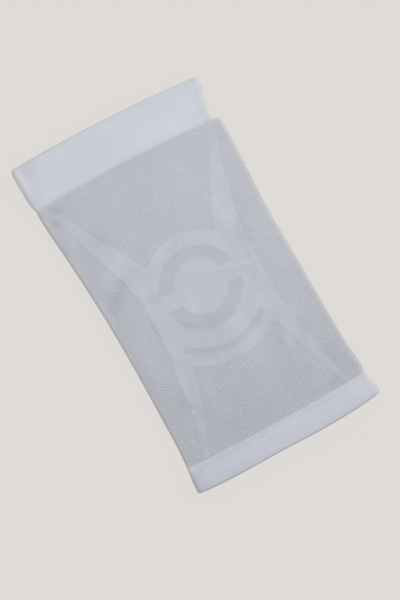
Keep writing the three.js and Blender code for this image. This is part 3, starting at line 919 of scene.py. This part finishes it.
class Shader:
    """A node material under construction, with short calls for the nodes that the knits share."""

    def __init__(self, name):
        self.material = bpy.data.materials.new(name)
        self.material.use_nodes = True
        self.tree = self.material.node_tree
        self.surface = self.tree.nodes["Principled BSDF"]

    def feed(self, node, values):
        """Links sockets of a node, by name or number, to values that are other sockets, or sets them."""
        for key, value in values.items():
            if isinstance(value, bpy.types.NodeSocket):
                self.tree.links.new(value, node.inputs[key])
            else:
                node.inputs[key].default_value = value

    def node(self, kind, values=None, **settings):
        """A new node with its settings and what its sockets are fed."""
        made = self.tree.nodes.new(kind)
        for setting, value in settings.items():
            setattr(made, setting, value)
        self.feed(made, values or {})
        return made

    def math(self, operation, *values):
        """The result of a math node."""
        return self.node("ShaderNodeMath", dict(enumerate(values)), operation=operation).outputs[0]

    def times(self, *values):
        """The product of some values."""
        product = values[0]
        for value in values[1:]:
            product = self.math("MULTIPLY", product, value)
        return product

    def scaled(self, value, factor, offset):
        """A value times a factor, plus an offset."""
        return self.math("MULTIPLY_ADD", value, factor, offset)

    def wave(self, value, turns):
        """The cosine of a value that goes through so many turns for each unit."""
        return self.math("COSINE", self.times(value, 2 * math.pi * turns))

    def span(self, value, from_low, from_high, to_low=0.0, to_high=1.0):
        """A value carried from one range to another, smoothly and held at the ends."""
        values = dict(enumerate((value, from_low, from_high, to_low, to_high)))
        return self.node("ShaderNodeMapRange", values, interpolation_type="SMOOTHSTEP").outputs[0]

    def mix(self, share, first, second, blend="MIX"):
        """A mix of two colours."""
        values = {"Factor": share, "A": first, "B": second}
        return self.node("ShaderNodeMix", values, data_type="RGBA", blend_type=blend).outputs["Result"]

    def shaded(self, colour, level):
        """A colour times a level of grey."""
        grey = self.node("ShaderNodeCombineColor", {0: level, 1: level, 2: level})
        return self.mix(1.0, colour, grey.outputs[0], "MULTIPLY")

    def in_space(self):
        """The place of a point in the piece's own space."""
        return self.node("ShaderNodeTexCoord").outputs["Object"]

    def on_knit(self):
        """The place of a point on the stitch map."""
        return self.node("ShaderNodeUVMap", uv_map=STITCH_MAP).outputs["UV"]

    def place(self):
        """The three coordinates of a point in the piece's own space."""
        return self.node("ShaderNodeSeparateXYZ", {0: self.in_space()}).outputs

    def stitches(self):
        """The wale and the course at a point."""
        split = self.node("ShaderNodeSeparateXYZ", {0: self.on_knit()})
        return split.outputs["X"], split.outputs["Y"]

    def attribute(self, name):
        """A number carried by the mesh."""
        return self.node("ShaderNodeAttribute", attribute_name=name).outputs["Fac"]

    def noise(self, vector, scale, detail):
        """Noise over some places: a number and a colour, from 0 to 1."""
        return self.node("ShaderNodeTexNoise", {"Vector": vector, "Scale": scale, "Detail": detail}).outputs

    def wander(self, scale, detail, *span):
        """A level that changes slowly over the piece, by a noise carried to a range of its own."""
        return self.span(self.noise(self.in_space(), scale, detail)["Fac"], *span)

    def unevenness(self, scale):
        """Three independent noises n from stitch to stitch, as 4 n - 2, each from about -1 to 1."""
        colour = self.noise(self.on_knit(), scale, 1.0)["Color"]
        split = self.node("ShaderNodeSeparateColor", {0: colour})
        return [self.scaled(channel, 4.0, -2.0) for channel in split.outputs]

    def loops(self, wale, course):
        """Height of plain knit: each stitch is a V whose arms rise from the middle of its wale."""
        beside = self.times(self.math("PINGPONG", wale, 0.5), 2.0)
        phase = self.scaled(beside, LOOP_RISE, course)
        yarn = self.scaled(self.wave(phase, 1.0), 0.5, 0.5)
        edge = self.math("SUBTRACT", 1.0, self.math("POWER", beside, LOOP_POWER))
        return self.times(yarn, edge)

    def bump(self, height, distance, strength, **under):
        """A surface normal from a height, over another normal if one is given."""
        values = {"Height": height, "Distance": distance, "Strength": strength}
        return self.node("ShaderNodeBump", values | under).outputs["Normal"]

    def yarn_normal(self, wale, course, strength):
        """Bump of the stitches, with the fibres of the yarn over it."""
        stitches = self.bump(self.loops(wale, course), LOOP_HEIGHT, strength)
        fibres = self.noise(self.in_space(), FIBRE_SCALE, FIBRE_DETAIL)["Fac"]
        return self.bump(fibres, FIBRE_HEIGHT, FIBRE_STRENGTH, Normal=stitches)

    def at_edge(self):
        """1 at the folds and the rims, falling to 0 further in."""
        return self.span(self.attribute(FROM_EDGE), EDGE_TINT_FULL, EDGE_TINT_END, 1.0, 0.0)

    def mottled(self, colour, grain):
        """A colour drifting slowly and by stitch, painted shade in hollows, painted warm light at the edges.
        """
        cast = self.mix(self.wander(*TINT_DRIFT), COOL_TINT, WARM_TINT)
        uneven = self.scaled(self.unevenness(GRAIN_UNEVENNESS)[0], grain, self.wander(*TONE_DRIFT))
        # Painted shade in the hollows of the dents, deeper with their depth
        in_hollow = self.scaled(self.attribute(HOLLOW), -HOLLOW_SHADE, 1.0)
        drifting = self.mix(1.0, self.shaded(colour, self.times(uneven, in_hollow)), cast, "MULTIPLY")
        # Painted warm light bounced from the floor at the folds and rims
        return self.mix(self.at_edge(), drifting, EDGE_TINT, "MULTIPLY")

    def painted_fold_shading(self, left, right):
        """Painted light and shade: 1 further in, changed by one amount at the left fold and one at the right.
        """
        change = self.span(self.place()["X"], -FOLD_CHANGE, FOLD_CHANGE, left, right)
        return self.scaled(self.at_edge(), change, 1.0)

    def finish(self, colour, grain, roughness, normal):
        """Joins the shader up as matt yarn with a soft sheen, and returns the material."""
        yarn = {"Base Color": self.mottled(colour, grain), "Roughness": roughness, "Normal": normal}
        self.feed(self.surface, yarn | YARN_FINISH)
        return self.material


def rgba(colour):
    """A colour property as a shader colour."""
    return (*colour, 1.0)


def pique_material(colours, sizes):
    """Pique with raised dots, changing to smooth knit and ring knit where the mesh says so.

    Every other stitch is a bright dot, and the stitches between are dark pits. They shift a little from
    stitch to stitch and are fainter here and there, most of all towards the thigh, and the gaps between the
    wales are dark. The light of the dots and the dark of the pits and gaps are partly the knit's own look and
    partly painted light and shade of its relief. The smooth knit has violet patches and painted light and
    shade of fine creases. The body has painted shade towards the calf and painted light and shade at its
    folds. In the last course before a seam the colour changes to that of the cuff, in teeth that follow the
    wales.
    """
    shader = Shader("pique_knit")
    wale, course = shader.stitches()
    level = shader.place()["Y"]
    sideways, upwards, strength = shader.unevenness(DOT_UNEVENNESS)
    dot_wale = shader.scaled(sideways, DOT_STRAY[0], wale)
    dot_course = shader.scaled(upwards, DOT_STRAY[1], course)
    lattice = shader.times(shader.wave(dot_wale, 0.5), shader.wave(dot_course, 0.5))
    peak = shader.times(shader.math("SUBTRACT", lattice, 1.0), sizes.dot_sharpness)
    trough = shader.times(shader.math("ADD", lattice, 1.0), -sizes.dot_sharpness)
    fullness = shader.times(shader.span(strength, *DOT_STRENGTH), shader.span(level, *DOT_FADE))
    patchy = shader.times(fullness, shader.wander(*DOT_PATCHES))
    dots = shader.times(shader.math("EXPONENT", peak), patchy)
    pits = shader.times(shader.math("EXPONENT", trough), patchy)
    # Dark pits and gaps between the wales: partly painted shade in the knit's recesses
    gaps = shader.span(shader.wave(dot_wale, 1.0), *WALE_GAPS)
    pitted = shader.times(gaps, shader.scaled(pits, colours.pit_shade - 1.0, 1.0))
    dotted = shader.shaded(shader.mix(dots, rgba(colours.ground), rgba(colours.pique_dot)), pitted)
    violet = shader.times(shader.attribute(VIOLET), shader.wander(*VIOLET_MOTTLE))
    patched = shader.mix(violet, rgba(colours.smooth), rgba(colours.smooth_violet))
    # Painted shade on the smooth knit towards the calf, and a little darker towards the welt
    on_bands = shader.times(shader.span(level, *LOWER_BAND_SHADE), shader.span(level, *UPPER_BAND_SHADE))
    # Painted light and shade of fine creases in the smooth knit
    crease_shaded = shader.shaded(patched, shader.times(shader.wander(*PAINTED_CREASE_SHADING), on_bands))
    smooth_zone = shader.attribute(SMOOTH_ZONE)
    ring_zone = shader.attribute(RING_ZONE)
    ringed = shader.mix(ring_zone, shader.mix(smooth_zone, dotted, crease_shaded), rgba(colours.ring))
    # Painted shade that darkens the body towards the calf
    to_calf = shader.span(level, *CALF_FADE, 1.0, colours.calf_painted_shade)
    # Painted light at the folds: the left is lighter where it bulges and darker elsewhere, the right is
    # lighter
    from_bulge = shader.math("ABSOLUTE", shader.math("SUBTRACT", level, LEFT_BULGE))
    left_fold_painted_shading = shader.span(from_bulge, *BULGE_LIGHT)
    body = shader.shaded(ringed, shader.times(to_calf, shader.painted_fold_shading(left_fold_painted_shading, RIGHT_FOLD_PAINTED_LIGHT)))
    toothed = shader.scaled(shader.wave(wale, 1.0), SEAM_TEETH, course)
    to_welt = shader.span(toothed, *(sizes.body_courses + tooth for tooth in WELT_TEETH))
    to_strip = shader.span(toothed, *STRIP_TEETH)
    colour = shader.mix(to_strip, shader.mix(to_welt, body, rgba(colours.welt)), rgba(colours.strip))
    roughness = shader.span(dots, *DOT_ROUGHNESS)
    in_pattern = shader.math("ADD", smooth_zone, ring_zone)
    grain = shader.span(in_pattern, 0.0, 1.0, shader.span(level, *PIQUE_GRAIN), SMOOTH_GRAIN)
    return shader.finish(colour, grain, roughness, shader.yarn_normal(wale, course, BODY_BUMP))


def welt_material(colours):
    """Smooth knit, the faintest of ribs, painted shade where it turns in at the rim and at its folds."""
    shader = Shader("welt_knit")
    wale, course = shader.stitches()
    crest = shader.wave(wale, 1.0)
    # Painted shade where the welt turns in at its rim and at its folds
    at_rim = shader.times(shader.span(course, *WELT_RIM_EDGE), shader.span(course, *WELT_RIM_SHADE))
    level = shader.times(shader.span(crest, *WELT_RIBS), at_rim, shader.painted_fold_shading(*WELT_PAINTED_FOLD_SHADE))
    colour = shader.shaded(rgba(colours.welt), level)
    roughness = shader.span(crest, *WELT_ROUGHNESS)
    return shader.finish(colour, SMOOTH_GRAIN, roughness, shader.yarn_normal(wale, course, WELT_BUMP))


def rib_material(colours, sizes):
    """Ribs with painted shade in their valleys, lighter at the head of each stitch, under a plain strip.

    The strip's lower edge is ragged. The painted shade in the valleys is deepest on the left. The cuff has
    painted shade where it turns in at the rim and at its two ends, and the lighter heads of the stitches are
    partly painted light on the loops.
    """
    shader = Shader("rib_knit")
    wale, course = shader.stitches()
    across = shader.place()["X"]
    seam_course = (LOWER_SEAM - LOWER_RIM) / sizes.cuff_course
    strip_course = (LOWER_SEAM - LOWER_RIM - sizes.strip_height) / sizes.cuff_course
    ragged = shader.math("SUBTRACT", course, shader.wander(*STRIP_EDGE))
    ribbed = shader.span(ragged, *(strip_course + start for start in RIBS_START))
    rib_wale = shader.scaled(shader.unevenness(RIB_UNEVENNESS)[0], RIB_STRAY, wale)
    # Painted shade in the valleys between the ribs, deepest on the left, away from the light
    valley = shader.span(across, *VALLEY_SHADE)
    crest = shader.span(shader.wave(rib_wale, 1.0), *RIB_CREST, valley, 1.0)
    # Heads of the stitches lighter: partly painted light on the loops
    head = shader.span(shader.wave(course, 1.0), *STITCH_HEADS)
    # Painted shade where the cuff turns in at its rim
    at_rim = shader.times(shader.span(course, *CUFF_RIM_EDGE), shader.span(course, *CUFF_RIM_SHADE))
    ribs = shader.shaded(rgba(colours.rib), shader.times(crest, head, at_rim))
    at_seam = shader.span(course, seam_course - 1.0, seam_course, 1.0, SEAM_SHADE)
    strip = shader.shaded(rgba(colours.strip), at_seam)
    # Painted shade at the cuff's left end, its right end and its right fold
    to_left = shader.times(shader.span(across, *CUFF_LEFT_END), shader.span(across, *CUFF_LEFT_SHADE))
    to_right = shader.times(shader.span(across, *CUFF_RIGHT_SHADE), shader.painted_fold_shading(*CUFF_PAINTED_FOLD_SHADE))
    sided = shader.shaded(ribs, shader.times(to_left, to_right))
    colour = shader.mix(ribbed, strip, sided)
    roughness = shader.span(crest, *RIB_ROUGHNESS)
    return shader.finish(colour, RIB_GRAIN, roughness, shader.yarn_normal(wale, course, RIB_BUMP))


def floor_material(settings):
    """Plain pale matt floor over a soft light, with a trace of unevenness."""
    shader = Shader("pale_floor")
    colour = shader.shaded(rgba(settings.floor_colour), shader.wander(*FLOOR_DRIFT))
    lit = {"Base Color": colour, "Emission Color": rgba(settings.floor_glow)}
    shader.feed(shader.surface, lit | FLOOR_FINISH)
    return shader.material


def place_piece(piece, node):
    """Puts a knitted piece in the frame: it stands for its CAD node and lies where that lies."""
    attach(piece, ROOT_BODY)
    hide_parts(node)


class KNEESLEEVE_OT_stage(bpy.types.Operator):
    """Make the floor, the light and the camera"""

    bl_idname = "knee_sleeve.stage"
    bl_label = "Stage"

    def execute(self, context):
        settings = context.scene.knee_sleeve_stage
        half = settings.floor_size / 2
        mesh = bpy.data.meshes.new("studio_floor")
        corners = np.array([(-half, -half), (half, -half), (half, half), (-half, half)])
        points = np.column_stack([corners, np.full(len(corners), -settings.floor_drop)])
        mesh.from_pydata(points.tolist(), [], [tuple(range(len(corners)))])
        mesh.materials.append(floor_material(settings))
        floor = bpy.data.objects.new("studio_floor", mesh)
        context.collection.objects.link(floor)

        world = bpy.data.worlds.new("soft_studio")
        world.use_nodes = True
        world.node_tree.nodes["Background"].inputs["Color"].default_value = (1.0, 1.0, 1.0, 1.0)
        world.node_tree.nodes["Background"].inputs["Strength"].default_value = settings.ambient
        context.scene.world = world

        lamp = bpy.data.lights.new("key_light", "SUN")
        lamp.energy = settings.key_strength
        lamp.angle = settings.key_angle
        key = bpy.data.objects.new("key_light", lamp)
        key.rotation_euler = (0.0, math.pi / 2 - settings.key_height, settings.key_side)
        context.collection.objects.link(key)

        lens = bpy.data.cameras.new("camera")
        lens.lens = settings.lens
        camera = bpy.data.objects.new("camera", lens)
        distance = settings.view_height * settings.lens / lens.sensor_width
        camera.location = (*settings.view_centre, CAD_BOX[1].z + distance)
        camera.rotation_euler = (0.0, 0.0, settings.view_roll)
        context.collection.objects.link(camera)
        context.scene.camera = camera
        context.scene.view_settings.view_transform = "Standard"
        return {"FINISHED"}


class KNEESLEEVE_OT_body(bpy.types.Operator):
    """Knit the pique body with its kneecap pattern"""

    bl_idname = "knee_sleeve.body"
    bl_label = "Pique body"

    def execute(self, context):
        sizes = context.scene.knee_sleeve_sizes
        material = pique_material(context.scene.knee_sleeve_yarns, sizes)
        piece = body_piece(sizes, context.scene.knee_sleeve_pattern, material)
        place_piece(piece, "sleeve_body")
        return {"FINISHED"}


class KNEESLEEVE_OT_upper_cuff(bpy.types.Operator):
    """Knit the smooth welt round the thigh"""

    bl_idname = "knee_sleeve.upper_cuff"
    bl_label = "Thigh welt"

    def execute(self, context):
        sizes = context.scene.knee_sleeve_sizes
        piece = upper_cuff_piece(sizes, welt_material(context.scene.knee_sleeve_yarns))
        place_piece(piece, "upper_cuff")
        return {"FINISHED"}


class KNEESLEEVE_OT_lower_cuff(bpy.types.Operator):
    """Knit the ribbed cuff round the calf"""

    bl_idname = "knee_sleeve.lower_cuff"
    bl_label = "Ribbed cuff"

    def execute(self, context):
        sizes = context.scene.knee_sleeve_sizes
        piece = lower_cuff_piece(sizes, rib_material(context.scene.knee_sleeve_yarns, sizes))
        place_piece(piece, "lower_cuff")
        return {"FINISHED"}


SETTINGS = {
    "knee_sleeve_sizes": SleeveSizes,
    "knee_sleeve_pattern": SupportPattern,
    "knee_sleeve_yarns": YarnColours,
    "knee_sleeve_stage": StageSettings,
}
OPERATORS = (KNEESLEEVE_OT_stage, KNEESLEEVE_OT_body, KNEESLEEVE_OT_upper_cuff, KNEESLEEVE_OT_lower_cuff)


class KNEESLEEVE_PT_sidebar(bpy.types.Panel):
    """Settings and buttons for the knee sleeve"""

    bl_idname = "KNEESLEEVE_PT_sidebar"
    bl_label = "Knee Sleeve"
    bl_space_type = "VIEW_3D"
    bl_region_type = "UI"
    bl_category = "Knee Sleeve"

    def draw(self, context):
        for group_name, group in SETTINGS.items():
            box = self.layout.box()
            for setting in group.__annotations__:
                box.prop(getattr(context.scene, group_name), setting)
        for operator in OPERATORS:
            self.layout.operator(operator.bl_idname)


CLASSES = (*SETTINGS.values(), *OPERATORS, KNEESLEEVE_PT_sidebar)


def register():
    """Registers the classes and hangs the settings on the scene."""
    for entry in CLASSES:
        bpy.utils.register_class(entry)
    for group_name, group in SETTINGS.items():
        setattr(bpy.types.Scene, group_name, PointerProperty(type=group))


def unregister():
    """Takes the settings off the scene and unregisters the classes."""
    for group_name in SETTINGS:
        delattr(bpy.types.Scene, group_name)
    for entry in reversed(CLASSES):
        bpy.utils.unregister_class(entry)


def main():
    """Builds the stage and the three pieces."""
    register()
    bpy.ops.knee_sleeve.stage()
    bpy.ops.knee_sleeve.body()
    bpy.ops.knee_sleeve.upper_cuff()
    bpy.ops.knee_sleeve.lower_cuff()


if __name__ == "__main__":
    main()
